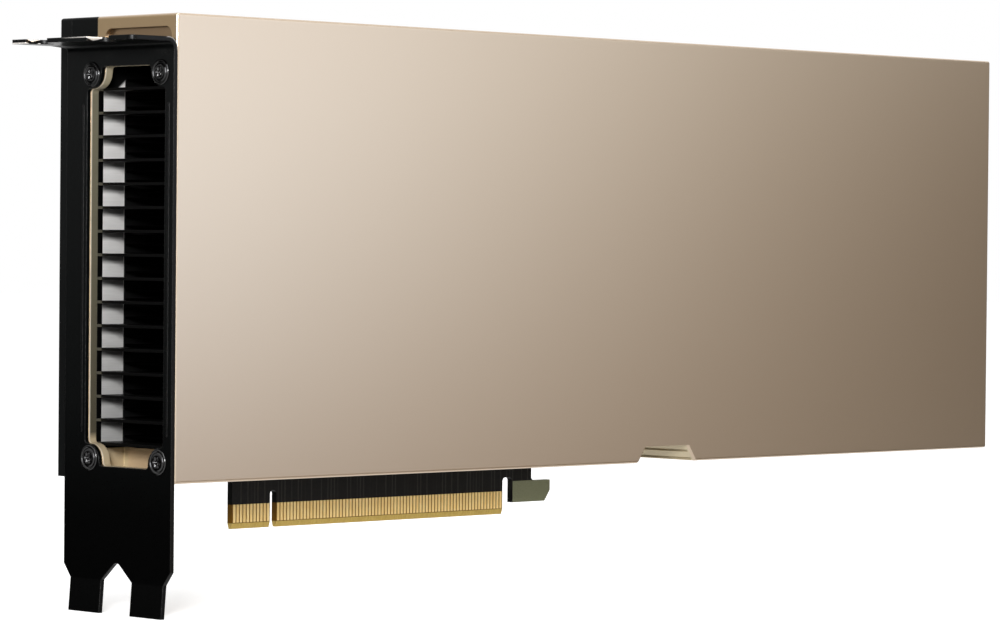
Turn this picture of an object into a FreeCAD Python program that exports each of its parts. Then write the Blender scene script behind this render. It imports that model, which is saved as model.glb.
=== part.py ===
import FreeCAD, Part
import os
import re

import Sketcher
from FreeCAD import Placement, Rotation, Vector

# A passive accelerator card that stands in a slot of a server.
# Frame: X runs from the mounting bracket to the far end, with zero in the middle of the key notch.
# Y runs from the cover to the backplate, with zero in the board's middle plane.
# Z runs up, with zero at the tips of the edge contacts.

SIZES = [
    # body
    ("card_length", 268.4),        # near end of the body to its far end
    ("near_reach", 58.3),          # key notch back to the near end
    ("body_low", 13.2),            # contact tips up to the underside of the body
    ("body_height", 97.8),         # underside to top
    ("front_reach", 35.4),         # board middle out to the cover's face
    ("seam_reach", 9.5),           # board middle out to the seam between cover and frame
    ("back_reach", 3.2),           # board middle out to the backplate's face
    ("fit_gap", 0.3),              # clearance between pieces that pass each other
    ("seat_gap", 0.1),             # clearance round the end wall's tongue
    ("overrun", 2.0),              # how far a cutting tool passes the face that it leaves
    # latch notch in the underside
    ("latch_start", 81.8),         # key notch to the near foot of the notch
    ("latch_mouth", 20.1),         # width at the mouth
    ("latch_slope", 2.6),          # run of each slanted side
    ("latch_rise", 3.8),           # height of its roof above the underside
    ("groove_low", 0.25),          # underside up to the lower groove in the far side
    ("groove_high", 2.1),          # underside up to the upper groove
    ("groove_width", 0.45),
    ("groove_depth", 0.5),
    # front cover
    ("cover_wall", 1.5),
    ("end_wall", 2.1),
    ("edge_round", 0.6),
    ("tongue_reach", 5.3),         # board middle out to the end wall's tongue
    ("tongue_inset", 1.4),         # underside up to the foot of the tongue
    ("tongue_head", 9.2),          # top of the body down to the top of the tongue
    ("dish_depth", 1.1),           # recess round the bracket's flange
    ("dish_left", 12.0),
    ("dish_right", 33.7),
    ("dish_under", 15.02),         # flange's underside down to the foot of the recess
    ("dish_over", 2.33),           # flange's top up to the top of the recess
    ("dish_round", 2.0),
    ("stop_wall", 1.5),            # upstand below the fins
    ("stop_height", 4.9),
    ("post_size", 6.0),            # corner posts at the far end
    ("post_length", 9.0),
    ("thread_bore", 2.5),
    ("thread_depth", 7.0),
    # exhaust window
    ("window_left", 7.3),
    ("window_right", 32.85),
    ("window_foot", 2.8),          # underside of the body up to the window
    ("window_head", 10.6),         # top of the body down to the window
    ("ear_width", 4.7),
    ("ear_height", 4.65),
    ("ear_round", 3.7),
    ("ear_fillet", 0.9),
    ("screw_in", 1.5),             # window's side to the screw in its ear
    ("screw_down", 1.65),          # window's top to the screw in its ear
    # bracket
    ("sheet", 0.95),
    ("bracket_left", 0.5),
    ("bracket_right", 35.6),
    ("flange_left", 3.8),          # how far the flange passes the board's middle
    ("flange_reach", 11.43),
    ("flange_below", 5.98),        # top of the body down to the flange's underside
    ("bend_round", 1.5),
    ("bend_narrowing", 0.6),       # fall of the flange's wide end where it runs out into the bend
    ("notch_pitch", 20.32),
    ("notch_first", 3.0),          # board middle to the first notch
    ("notch_width", 4.42),
    ("notch_depth", 5.2),
    ("notch_flare", 2.7),          # how much wider a notch's mouth is on its outer side
    ("notch_flat", 0.1),           # straight stretch left at a notch's round end
    ("tip_drop", 15.0),            # contact tips down to the tongue tips
    ("tongue_width", 10.19),
    ("tongue_drop", 8.0),          # contact tips down to the shoulders' feet
    ("shoulder_drop", 5.1),
    ("vee_drop", 3.7),
    ("tip_lean", 0.55),
    ("tip_round", 1.6),
    # exhaust grille
    ("grille_frame", 1.4),
    ("grille_wall", 2.0),          # side and top walls of the grille's frame
    ("blade_depth", 7.2),
    ("blade_thick", 0.6),
    ("blade_count", 16),
    ("blade_foot", 0.45),          # foot of the grille up to the lowest blade
    ("blade_root", 0.1),           # how far a blade's end goes into the frame
    # heat sink
    ("base_face", 7.3),
    ("base_thick", 3.0),
    ("base_foot", 1.1),            # stop wall's top up to the base
    ("base_head", 0.5),            # frame's upper rail down to the base
    ("base_end", 20.1),            # far end of the body back to the base
    ("plenum_depth", 7.8),
    ("fin_thick", 0.4),
    ("fin_count", 44),
    ("fin_margin", 1.075),         # base's edge to the outermost fin
    ("fin_cap", 0.35),
    # frame
    ("rail", 3.5),
    ("far_rail", 4.0),
    ("lip_wall", 1.6),
    ("lip_height", 4.5),
    ("lip_end", 3.0),              # room between a lip's end and what stands beside it
    ("rib_wall", 2.0),
    ("rib_height", 2.9),
    ("rib_root", 1.0),             # how far a rib's end goes into the rail
    # backplate
    ("plate_wall", 1.6),
    ("rim_wall", 1.2),
    ("plate_round", 0.5),
    # board
    ("board_thick", 1.57),
    ("board_drop", 1.2),           # underside of the body down to the board's edge
    ("short_reach", 12.15),        # key notch middle to the near end of the contacts
    ("long_reach", 72.15),         # key notch middle to the far end of the contacts
    ("key_width", 1.9),
    ("key_rise", 8.25),
    ("gap_width", 3.2),
    ("gap_rise", 8.6),
    ("notch_corner", 0.85),        # rounding of the key notch and the far gap
    ("hook_length", 12.7),
    ("hook_low", 2.62),
    ("hook_top", 7.64),
    ("hook_neck", 6.4),
    ("hook_bevel", 1.8),           # run of the slanted corner under the hook's tip
    ("hook_slant", 2.52),          # rise of that corner
    ("bevel_rise", 1.3),
    ("bevel_cut", 0.4),
    ("contact_pitch", 1.0),
    ("contact_width", 0.7),
    ("contact_low", 1.4),
    ("contact_height", 4.0),
    ("contact_thick", 0.05),
    ("contact_first", 1.5),        # key notch middle to the nearest contact on either side
    ("short_count", 11),
    ("long_count", 71),
    # processor
    ("chip_x", 78.0),
    ("package_margin", 2.15),      # memory stacks out to the stiffener
    ("package_thick", 1.6),
    ("die_length", 33.0),
    ("die_width", 25.5),
    ("die_thick", 0.8),
    ("stack_length", 12.0),
    ("stack_width", 8.0),
    ("stack_gap", 0.6),
    ("stack_rows", 3),
    ("stiffener_wall", 4.0),
    ("stiffener_thick", 0.6),
    # power parts
    ("choke_size", 8.0),
    ("choke_height", 3.0),
    ("choke_margin", 0.8),         # base's edges in to the outermost chokes
    ("choke_count", 9),
    ("choke_out", 22.0),           # package's edge to the middle of a column of chokes
    ("part_gap", 1.0),             # room between neighbours on the board
    ("driver_length", 6.0),
    ("driver_width", 5.0),
    ("driver_height", 0.9),
    ("can_radius", 2.0),
    ("can_height", 2.6),
    ("can_step", 4),               # one can for this many chokes
    ("control_size", 7.0),
    ("control_height", 0.9),
    ("control_pitch", 16.0),
    ("control_rows", 3),
    ("control_near", 38.0),        # near end of the body to the first column of controllers
    ("control_far", 40.0),         # far end of the body to the second column
    ("control_rise", 22.0),        # board's lower edge up to the lowest controller
    # power socket
    ("socket_length", 13.6),
    ("socket_height", 18.6),
    ("socket_depth", 9.8),
    ("socket_head", 8.4),          # top of the body down to the socket
    ("socket_pitch", 4.2),
    ("socket_columns", 4),
    ("cavity_size", 3.3),
    ("cavity_depth", 11.0),
    ("terminal_size", 1.0),
    ("terminal_length", 8.0),
    # fasteners
    ("head_radius", 2.65),
    ("head_height", 0.45),
    ("head_chamfer", 0.2),
    ("shank_radius", 1.25),
    ("shank_past", 1.0),           # how far a shank passes the last wall that it holds
    ("small_head", 1.9),
    ("small_shank", 0.8),
    ("hole_gap", 0.15),
    ("thread_past", 0.5),          # depth of a threaded hole beyond its screw
    ("plate_screw_end", 8.2),      # ends of the body to the backplate's screws
    ("plate_screw_in", 4.1),       # board's long edges to the same screws
    ("cover_screw_end", 53.0),     # ends of the body to the cover's screws
    ("cover_screw_depth", 12.0),   # board middle out to the cover's screws
    ("clamp_thick", 0.6),          # leaf spring behind the processor
    ("clamp_arm", 8.0),
    ("clamp_waist", 6.0),          # half width of the spring where its arms meet
    ("clamp_margin", 4.0),         # package's edge to the spring screws
    ("film_thick", 0.2),           # insulating film inside the backplate
    ("film_margin", 9.5),
]

DOC = FreeCAD.newDocument("accelerator_card")
SHEET = DOC.addObject("Spreadsheet::Sheet", "Sizes")
WORD = re.compile(r"[a-z][a-z_]*\b(?!\()")    # an alias, but not the name of a function
SAME_PLACE = 1e-3                  # two places closer than this are one place


def fill_sheet():
    """Write every driving size to the sheet as a plain number with its alias."""
    for row, (alias, number) in enumerate(SIZES, start=1):
        SHEET.set(f"A{row}", alias)
        SHEET.set(f"B{row}", str(number))
        SHEET.setAlias(f"B{row}", alias)
    DOC.recompute()


def bound(text):
    """The expression with each alias written as a cell of the sheet."""
    return WORD.sub(lambda word: "Sizes." + word.group(0), text)


def value(text):
    """The number that an expression of aliases has now."""
    found = SHEET.evalExpression(text)
    return float(getattr(found, "Value", found))


# Places that several pieces share, as expressions of the sheet's aliases.
NEAR = "(-near_reach)"
FAR = "(card_length - near_reach)"
LOW = "body_low"
TOP = "(body_low + body_height)"
MIDDLE = "(body_low + body_height / 2)"
FRONT = "(-front_reach)"
SEAM = "(-seam_reach)"
BOARD_FRONT = "(-board_thick / 2)"
BOARD_LOW = "(body_low - board_drop)"
COVER_INSIDE = "(cover_wall - front_reach)"
END_INSIDE = "(end_wall - near_reach)"
TONGUE_LOW = "(body_low + tongue_inset)"
TONGUE_TOP = "(body_low + body_height - tongue_head)"
STOP_TOP = "(body_low + tongue_inset + stop_height)"
WINDOW_LOW = "(body_low + window_foot)"
WINDOW_TOP = "(body_low + body_height - window_head)"
FLANGE_LOW = "(body_low + body_height - flange_below)"
GRILLE_BACK = "(end_wall + grille_frame - near_reach)"
BLADE_LOW = "(body_low + tongue_inset + stop_height + fit_gap + blade_foot)"
FIN_FACE = "(end_wall + plenum_depth - near_reach)"
FIN_TIP = "(cover_wall + fit_gap - front_reach)"
BASE_LOW = "(body_low + tongue_inset + stop_height + base_foot)"
BASE_TOP = "(body_low + body_height - rail - base_head)"
BASE_FAR = "(card_length - near_reach - base_end)"
BASE_BACK = "(base_thick - base_face)"
PACKAGE_FRONT = "(-board_thick / 2 - package_thick)"
PACKAGE_HALF = "(die_width / 2 + stack_gap + stack_width + package_margin + stiffener_wall)"
CLAMP_HALF = f"({PACKAGE_HALF} + clamp_margin)"
BRACKET_FACE = "(-near_reach - sheet)"
LATCH_END = "(latch_start + latch_mouth)"
LATCH_ROOF = "(body_low + latch_rise)"
SOCKET_LOW = "(body_low + body_height - socket_head - socket_height)"
PLATE_INSIDE = "(back_reach - plate_wall)"


# ---------------------------------------------------------------- modelling helpers
def body(name):
    """An empty body whose label is the node's name."""
    made = DOC.addObject("PartDesign::Body", name)
    made.Label = name
    return made


def origin_item(owner, role):
    """One of the body's own origin planes or axes."""
    return next(item for item in owner.Origin.OriginFeatures if item.Role == role)


def place_sketch(owner, name, role, lift):
    """A sketch on an origin plane, lifted along the plane's normal."""
    sketch = owner.newObject("Sketcher::SketchObject", name)
    sketch.AttachmentSupport = [(origin_item(owner, role), "")]
    sketch.MapMode = "FlatFace"
    sketch.setExpression("AttachmentOffset.Base.z", bound(lift))
    return sketch


def hold(sketch, kind, element, point, text):
    """Dimension one point from the sketch's origin and bind it to the sheet."""
    index = sketch.addConstraint(Sketcher.Constraint(kind, -1, 1, element, point, value(text)))
    sketch.setExpression(f"Constraints[{index}]", bound(text))


def outline(owner, name, role, loops, lift="0"):
    """A sketch of closed loops whose corners are pairs of expressions."""
    sketch = place_sketch(owner, name, role, lift)
    for corners in loops:
        first = sketch.GeometryCount
        spots = [Vector(value(across), value(up), 0) for across, up in corners]
        count = len(spots)
        for step in range(count):
            sketch.addGeometry(Part.LineSegment(spots[step], spots[(step + 1) % count]), False)
        for step in range(count):
            follow = first + (step + 1) % count
            sketch.addConstraint(Sketcher.Constraint("Coincident", first + step, 2, follow, 1))
        for step, (across, up) in enumerate(corners):
            hold(sketch, "DistanceX", first + step, 1, across)
            hold(sketch, "DistanceY", first + step, 1, up)
    return sketch


def circles(owner, name, role, centres, radius, lift="0"):
    """A sketch of equal circles, each centre and radius bound to the sheet."""
    sketch = place_sketch(owner, name, role, lift)
    for across, up in centres:
        middle = Vector(value(across), value(up), 0)
        ring = sketch.addGeometry(Part.Circle(middle, Vector(0, 0, 1), value(radius)), False)
        hold(sketch, "DistanceX", ring, 3, across)
        hold(sketch, "DistanceY", ring, 3, up)
        index = sketch.addConstraint(Sketcher.Constraint("Radius", ring, value(radius)))
        sketch.setExpression(f"Constraints[{index}]", bound(radius))
    return sketch


def rectangle(left, low, right, top):
    """Corners of an upright rectangle."""
    return [(left, low), (right, low), (right, top), (left, top)]


def square(middle, half):
    """Corners of a square about a middle."""
    across, up = middle
    return rectangle(f"{across} - {half}", f"{up} - {half}", f"{across} + {half}", f"{up} + {half}")


def grow(owner, sketch, length, reverse=False):
    """Pad a sketch along its normal, or against it."""
    pad = owner.newObject("PartDesign::Pad", sketch.Name + "_pad")
    pad.Profile = sketch
    pad.Reversed = reverse
    pad.setExpression("Length", bound(length))
    sketch.Visibility = False
    DOC.recompute()
    return pad


def cut(owner, sketch, length, reverse=False, narrowing=None):
    """Pocket a sketch against its normal, or along it, and check that it removed something."""
    before = owner.Shape.Volume
    pocket = owner.newObject("PartDesign::Pocket", sketch.Name + "_cut")
    pocket.Profile = sketch
    pocket.Reversed = reverse
    pocket.setExpression("Length", bound(length))
    if narrowing:
        pocket.setExpression("TaperAngle", bound(narrowing))
    sketch.Visibility = False
    DOC.recompute()
    if owner.Shape.Volume >= before:
        raise RuntimeError(f"{pocket.Name} removes nothing")
    return pocket


def edges_at(shape, axis, spots):
    """Names of the straight edges along an axis that pass through the given places."""
    others = [side for side in range(3) if side != axis]
    names = []
    for number, edge in enumerate(shape.Edges, start=1):
        start, end = edge.firstVertex().Point, edge.lastVertex().Point
        level = all(abs(start[side] - end[side]) < SAME_PLACE for side in others)
        if not level or edge.Length < SAME_PLACE:
            continue
        for spot in spots:
            if all(abs(start[side] - value(text)) < SAME_PLACE for side, text in zip(others, spot)):
                names.append(f"Edge{number}")
                break
    return names


def round_edges(owner, name, axis, spots, radius):
    """Fillet the straight edges along an axis that pass through the given places."""
    names = edges_at(owner.Shape, axis, spots)
    if not names:
        raise RuntimeError(f"{name} finds no edge")
    base = owner.Tip
    fillet = owner.newObject("PartDesign::Fillet", name)
    fillet.Base = (base, names)
    fillet.setExpression("Radius", bound(radius))
    DOC.recompute()
    return fillet


def repeat(owner, feature, role, length, count):
    """Linear pattern of one feature along an origin axis."""
    pattern = owner.newObject("PartDesign::LinearPattern", feature.Name + "_row")
    pattern.Originals = [feature]
    pattern.Direction = (origin_item(owner, role), [""])
    pattern.setExpression("Length", bound(length))
    pattern.setExpression("Occurrences", bound(count))
    owner.Tip = pattern
    DOC.recompute()
    return pattern


def block(name, low, high):
    """A box between two corners given as expressions."""
    box = DOC.addObject("Part::Box", name)
    box.Label = name
    for side, start, end in zip(("Length", "Width", "Height"), low, high):
        box.setExpression(side, bound(f"{end} - {start}"))
    for side, start in zip("xyz", low):
        box.setExpression("Placement.Base." + side, bound(start))
    DOC.recompute()
    return box


def remove(name, base, tool):
    """Base with a tool taken away."""
    result = DOC.addObject("Part::Cut", name)
    result.Base = base
    result.Tool = tool
    result.Label = name
    DOC.recompute()
    return result


def group(name, shapes):
    """Separate like solids kept as one node."""
    made = DOC.addObject("Part::Feature", name)
    made.Shape = Part.makeCompound(shapes)
    made.Label = name
    return made


def moved(shape, across, out, up):
    """A copy of a shape moved by three numbers."""
    copied = shape.copy()
    copied.translate(Vector(across, out, up))
    return copied


def turned(profile, direction):
    """A solid turned about an axis through zero, from pairs of length along it and radius."""
    corners = [Vector(along, radius, 0) for along, radius in profile]
    face = Part.Face(Part.makePolygon(corners + corners[:1]))
    solid = face.revolve(Vector(0, 0, 0), Vector(1, 0, 0), 360)
    solid.Placement = Placement(Vector(0, 0, 0), Rotation(Vector(1, 0, 0), direction))
    return solid


def sunk_screw(direction, wall, length):
    """A screw whose cone head fills a wall's sink: head flush at zero, shank along the direction."""
    head, shank = value("small_head"), value("small_shank")
    return turned([(0, 0), (0, head), (value(wall), shank), (length, shank), (length, 0)], direction)


def sink(owner, sketch, wall, reverse=False):
    """Cut the cone holes that take sunk screws through a wall."""
    cut(owner, sketch, wall, reverse, f"-atan((small_head - small_shank) / {wall})")


# ---------------------------------------------------------------- shared outlines and places
def side_outline(inset="0", near=NEAR, far=FAR):
    """Outline of the body seen from the front, with the latch notch in its underside."""
    low = f"({LOW} + {inset})"
    top = f"({TOP} - {inset})"
    roof = f"({LATCH_ROOF} + {inset})"
    start = f"(latch_start - {inset})"
    end = f"({LATCH_END} + {inset})"
    return [
        (near, low), (start, low), (f"{start} + latch_slope", roof), (f"{end} - latch_slope", roof),
        (end, low), (far, low), (far, top), (near, top),
    ]


def window_outline():
    """The exhaust window with an ear in each corner."""
    left, right = "(-window_left)", "(-window_right)"
    ear_left, ear_right = "(-window_left - ear_width)", "(ear_width - window_right)"
    ear_low, ear_top = f"({WINDOW_LOW} + ear_height)", f"({WINDOW_TOP} - ear_height)"
    return [
        (ear_left, WINDOW_LOW), (ear_left, ear_low), (left, ear_low), (left, ear_top),
        (ear_left, ear_top), (ear_left, WINDOW_TOP), (ear_right, WINDOW_TOP), (ear_right, ear_top),
        (right, ear_top), (right, ear_low), (ear_right, ear_low), (ear_right, WINDOW_LOW),
    ]


def cut_window(owner, name, start, depth):
    """Cut the lobed window along +X and round its ears and inner corners."""
    corners = window_outline()
    cut(owner, outline(owner, name, "YZ_Plane", [corners], start), depth, reverse=True)
    ears = corners[1::3]
    round_edges(owner, name + "_ears", 0, ears, "ear_round")
    inner = [corner for corner in corners if corner not in ears]
    round_edges(owner, name + "_corners", 0, inner, "ear_fillet")


def ear_screws():
    """Places of the four screws in the ears, as expressions of Y and Z."""
    return [(across, up)
            for across in ("(-window_left - screw_in)", "(screw_in - window_right)")
            for up in (f"({WINDOW_LOW} + screw_down)", f"({WINDOW_TOP} - screw_down)")]


def plate_screws():
    """Places of the four screws through the backplate into the frame, as expressions of X and Z."""
    return [(across, up)
            for across in (f"({NEAR} + plate_screw_end)", f"({FAR} - plate_screw_end)")
            for up in (f"({LOW} + plate_screw_in + rim_wall)", f"({TOP} - plate_screw_in)")]


def clamp_spots():
    """Places of the four spring screws round the processor, as expressions of X and Z."""
    return [(f"(chip_x {across} {CLAMP_HALF})", f"({MIDDLE} {up} {CLAMP_HALF})")
            for across in "+-" for up in "+-"]


def cover_screw_spots():
    """Places of the screws in the cover's upper edge, as expressions of X and Y."""
    return [(f"({NEAR} + cover_screw_end)", "(-cover_screw_depth)"),
            (f"({FAR} - cover_screw_end)", "(-cover_screw_depth)")]


def far_threads():
    """Places of the threaded holes in the far corner posts, as expressions of Y and Z."""
    return [(out, up)
            for out in (f"({COVER_INSIDE} + post_size / 2)", f"({SEAM} - post_size / 2)")
            for up in (f"({LOW} + (cover_wall + post_size) / 2)", f"({TOP} - (cover_wall + post_size) / 2)")]


# ---------------------------------------------------------------- front cover
def latch_grooves():
    """Two shallow grooves along the latch notch's far side, behind the cover's face."""
    return [rectangle(f"{LATCH_END} - latch_slope", f"{LOW} + {rise}",
                      f"{LATCH_END} - latch_slope * {rise} / latch_rise + groove_depth",
                      f"{LOW} + {rise} + groove_width")
            for rise in ("groove_low", "groove_high")]


def front_cover():
    """Gold sheet cover: face, rim, end wall with the window, latch notch and far corner posts."""
    cover = body("front_cover")
    shell = outline(cover, "cover_outline", "XZ_Plane", [side_outline()], "seam_reach")
    grow(cover, shell, "front_reach - seam_reach")
    inside = side_outline("cover_wall", END_INSIDE, f"({FAR} + overrun)")
    cavity = outline(cover, "cover_inside", "XZ_Plane", [inside], "seam_reach")
    cut(cover, cavity, "front_reach - seam_reach - cover_wall", reverse=True)

    tongue = rectangle(SEAM, TONGUE_LOW, "-tongue_reach", TONGUE_TOP)
    grow(cover, outline(cover, "end_tongue", "YZ_Plane", [tongue], NEAR), "end_wall")
    stop = rectangle("-front_reach + cover_wall / 2", "body_low + cover_wall / 2", SEAM, STOP_TOP)
    grow(cover, outline(cover, "fin_stop", "YZ_Plane", [stop], FIN_FACE), "stop_wall")
    cheek = rectangle("-base_face", TONGUE_LOW, "stop_wall - base_face", STOP_TOP)
    grow(cover, outline(cover, "stop_cheek", "YZ_Plane", [cheek], END_INSIDE), "plenum_depth + stop_wall")
    foot = rectangle(SEAM, TONGUE_LOW, "stop_wall - base_face", STOP_TOP)
    grow(cover, outline(cover, "stop_foot", "YZ_Plane", [foot], FIN_FACE), "stop_wall")

    columns = [(f"{COVER_INSIDE} - cover_wall / 2", f"{COVER_INSIDE} + post_size"),
               (f"{SEAM} - post_size", SEAM)]
    rows = [(f"{LOW} + cover_wall / 2", f"{LOW} + post_size"),
            (f"{TOP} - post_size", f"{TOP} - cover_wall / 2")]
    posts = [rectangle(front, low, back, top) for front, back in columns for low, top in rows]
    grow(cover, outline(cover, "far_posts", "YZ_Plane", posts, FAR), "post_length", reverse=True)
    bores = circles(cover, "far_threads", "YZ_Plane", far_threads(), "thread_bore / 2", FAR)
    cut(cover, bores, "thread_depth")

    dish_top = f"({FLANGE_LOW} + sheet + dish_over)"
    dish = rectangle("-dish_left", f"({FLANGE_LOW} - dish_under)", "-dish_right", dish_top)
    cut(cover, outline(cover, "flange_dish", "YZ_Plane", [dish], NEAR), "dish_depth", reverse=True)
    round_edges(cover, "dish_corners", 0, dish[2:], "dish_round")
    cut(cover, outline(cover, "latch_grooves", "XZ_Plane", latch_grooves(), "seam_reach"),
        "front_reach - seam_reach - cover_wall", reverse=True)
    cut_window(cover, "cover_window", NEAR, "end_wall")
    shanks = circles(cover, "ear_threads", "YZ_Plane", ear_screws(), "shank_radius", NEAR)
    cut(cover, shanks, "end_wall", reverse=True)
    spots = circles(cover, "cover_sinks", "XY_Plane", cover_screw_spots(), "small_head + hole_gap", TOP)
    sink(cover, spots, "cover_wall")

    round_edges(cover, "face_rounds", 0, [(FRONT, TOP), (FRONT, LOW)], "edge_round")
    round_edges(cover, "end_rounds", 2, [(NEAR, FRONT)], "edge_round")
    return cover


# ---------------------------------------------------------------- bracket
def tongue_cuts():
    """What is cut away round the tongues: a notch with a peak between them, and a shoulder each side."""
    middle = "(-(bracket_left + bracket_right) / 2)"
    inner, outer = "((notch_pitch - tongue_width) / 2)", "((notch_pitch + tongue_width) / 2)"
    below, root = "(-tip_drop - overrun)", "(-tongue_drop)"
    vee = [(f"{middle} + {inner}", below), (f"{middle} + {inner}", root), (middle, "-vee_drop"),
           (f"{middle} - {inner}", root), (f"{middle} - {inner}", below)]
    cuts = [vee]
    for side, edge in (("+", "-bracket_left"), ("-", "-bracket_right")):
        cuts.append([(f"{middle} {side} {outer}", below), (f"{middle} {side} {outer}", root),
                     (edge, "-shoulder_drop"), (f"{edge} {side} overrun", "-shoulder_drop"),
                     (f"{edge} {side} overrun", below)])
    return cuts


def flange_notches(edge):
    """The two notches that open at the flange's edge, each with a mouth that flares on one side."""
    notches = []
    for centre in ("(-notch_first)", "(-notch_first - notch_pitch)"):
        left, right = f"{centre} + notch_width / 2", f"{centre} - notch_width / 2"
        deep = f"{edge} + notch_depth"
        notches.append([
            (f"{edge} - overrun", left), (deep, left), (deep, right), (f"{edge} + notch_depth / 2", right),
            (edge, f"{right} - notch_flare"), (f"{edge} - overrun", f"{right} - notch_flare"),
        ])
    return notches


def mounting_bracket():
    """Bent sheet bracket: flange with two notches, lobed window and two tongues."""
    bracket = body("mounting_bracket")
    flange_top = f"({FLANGE_LOW} + sheet)"
    flange_edge = f"({BRACKET_FACE} - flange_reach)"
    profile = [
        (f"{BRACKET_FACE} - tip_lean", "-tip_drop"), (f"{NEAR} - tip_lean", "-tip_drop"),
        (NEAR, "-tongue_drop"), (NEAR, flange_top), (flange_edge, flange_top),
        (flange_edge, FLANGE_LOW), (BRACKET_FACE, FLANGE_LOW), (BRACKET_FACE, "-tongue_drop"),
    ]
    side = outline(bracket, "bracket_profile", "XZ_Plane", [profile], "-flange_left")
    grow(bracket, side, "flange_left + bracket_right")
    round_edges(bracket, "bend_inside", 1, [(BRACKET_FACE, FLANGE_LOW)], "bend_round")
    round_edges(bracket, "bend_outside", 1, [(NEAR, flange_top)], "bend_round + sheet")

    behind = f"({NEAR} + overrun)"
    through = "sheet + tip_lean + 2 * overrun"
    below, past = "-tip_drop - overrun", "flange_left + overrun"
    trim = [("-bracket_left", below), (past, below), (past, FLANGE_LOW), ("flange_left", FLANGE_LOW),
            ("-bracket_left", f"{FLANGE_LOW} - bend_narrowing")]
    cut(bracket, outline(bracket, "left_trim", "YZ_Plane", [trim], behind), through)
    tongues = tongue_cuts()
    cut(bracket, outline(bracket, "tongue_cuts", "YZ_Plane", tongues, behind), through)
    round_edges(bracket, "peak_round", 0, [tongues[0][2]], "tip_round")

    cut_window(bracket, "bracket_window", f"({BRACKET_FACE} - overrun)", "sheet + 2 * overrun")
    holes = circles(bracket, "screw_holes", "YZ_Plane", ear_screws(), "shank_radius + hole_gap", behind)
    cut(bracket, holes, "sheet + 2 * overrun")
    notches = flange_notches(flange_edge)
    slots = outline(bracket, "flange_notches", "XY_Plane", notches, f"({flange_top} + overrun)")
    cut(bracket, slots, "sheet + 2 * overrun")
    ends = [corner for notch in notches for corner in notch[1:3]]
    round_edges(bracket, "notch_ends", 2, ends, "(notch_width - notch_flat) / 2")
    round_edges(bracket, "flange_corner", 2, [(flange_edge, "-bracket_right")], "tip_round")
    return bracket


def bracket_screws():
    """Four low round-head screws that hold the bracket to the end wall, heads towards -X."""
    head, radius, shank = value("head_height"), value("head_radius"), value("shank_radius")
    chamfer = value("head_chamfer")
    length = value("sheet + end_wall + shank_past")
    profile = [(-head, 0), (-head, radius - chamfer), (chamfer - head, radius), (0, radius),
               (0, shank), (length, shank), (length, 0)]
    screw = turned(profile, Vector(1, 0, 0))
    seat = value(BRACKET_FACE)
    return group("bracket_screws", [moved(screw, seat, value(out), value(up)) for out, up in ear_screws()])


# ---------------------------------------------------------------- air path
def exhaust_grille():
    """Black frame behind the end wall with a ladder of thin level blades."""
    grille = body("exhaust_grille")
    left, low = "(grille_wall - window_left)", f"({STOP_TOP} + fit_gap)"
    outer = rectangle(FIN_TIP, low, left, f"{WINDOW_TOP} + grille_wall")
    grow(grille, outline(grille, "grille_outline", "YZ_Plane", [outer], END_INSIDE), "grille_frame")
    inner = rectangle("-window_right", f"{low} - overrun", "-window_left", WINDOW_TOP)
    opening = outline(grille, "grille_opening", "YZ_Plane", [inner], END_INSIDE)
    cut(grille, opening, "grille_frame", reverse=True)
    blade = rectangle("-window_right - blade_root", BLADE_LOW, "-window_left", f"{BLADE_LOW} + blade_thick")
    first = grow(grille, outline(grille, "blade", "YZ_Plane", [blade], END_INSIDE), "blade_depth")
    span = f"({WINDOW_TOP} - {BLADE_LOW}) * (blade_count - 1) / blade_count"
    repeat(grille, first, "Z_Axis", span, "blade_count")
    return grille


def heatsink_base():
    """Flat plate that carries the fins and lies on the processor."""
    return block("heatsink_base", (GRILLE_BACK, "(-base_face)", BASE_LOW), (BASE_FAR, BASE_BACK, BASE_TOP))


def heatsink_fins():
    """Stack of thin level fins under one closing sheet."""
    stack = body("heatsink_fins")
    low = f"({BASE_LOW} + fin_margin)"
    span = f"({BASE_TOP} - {BASE_LOW} - 2 * fin_margin - fin_thick)"
    length = f"{BASE_FAR} - {FIN_FACE}"
    cap = rectangle(FIN_TIP, low, f"{FIN_TIP} + fin_cap", f"{low} + {span} + fin_thick")
    grow(stack, outline(stack, "fin_closing", "YZ_Plane", [cap], FIN_FACE), length)
    fin = rectangle(FIN_TIP, low, "-base_face", f"{low} + fin_thick")
    first = grow(stack, outline(stack, "fin", "YZ_Plane", [fin], FIN_FACE), length)
    repeat(stack, first, "Z_Axis", span, "fin_count")
    return stack


# ---------------------------------------------------------------- frame and backplate
def spigot_lips():
    """Lips inside the cover's long walls: two below, on either side of the latch notch, and one above."""
    inset = "(cover_wall + fit_gap / 2)"
    low, top = f"{LOW} + {inset}", f"{TOP} - {inset}"
    end = f"({FAR} - post_length - lip_end)"
    return [
        rectangle(f"({FIN_FACE} + rib_wall)", low, "(latch_start - rail - lip_end)", f"{low} + lip_wall"),
        rectangle(f"({LATCH_END} + rail + lip_end)", low, end, f"{low} + lip_wall"),
        rectangle(f"({FIN_FACE} + rib_wall)", f"{top} - lip_wall", end, top),
    ]


def cross_ribs():
    """Ribs from rail to rail on both sides of the processor's clamp."""
    reach = f"({CLAMP_HALF} + small_head + fit_gap)"
    low, top = f"{LOW} + rail - rib_root", f"{TOP} - rail + rib_root"
    return [rectangle(f"chip_x - {reach} - rib_wall", low, f"chip_x - {reach}", top),
            rectangle(f"chip_x + {reach}", low, f"chip_x + {reach} + rib_wall", top)]


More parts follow.
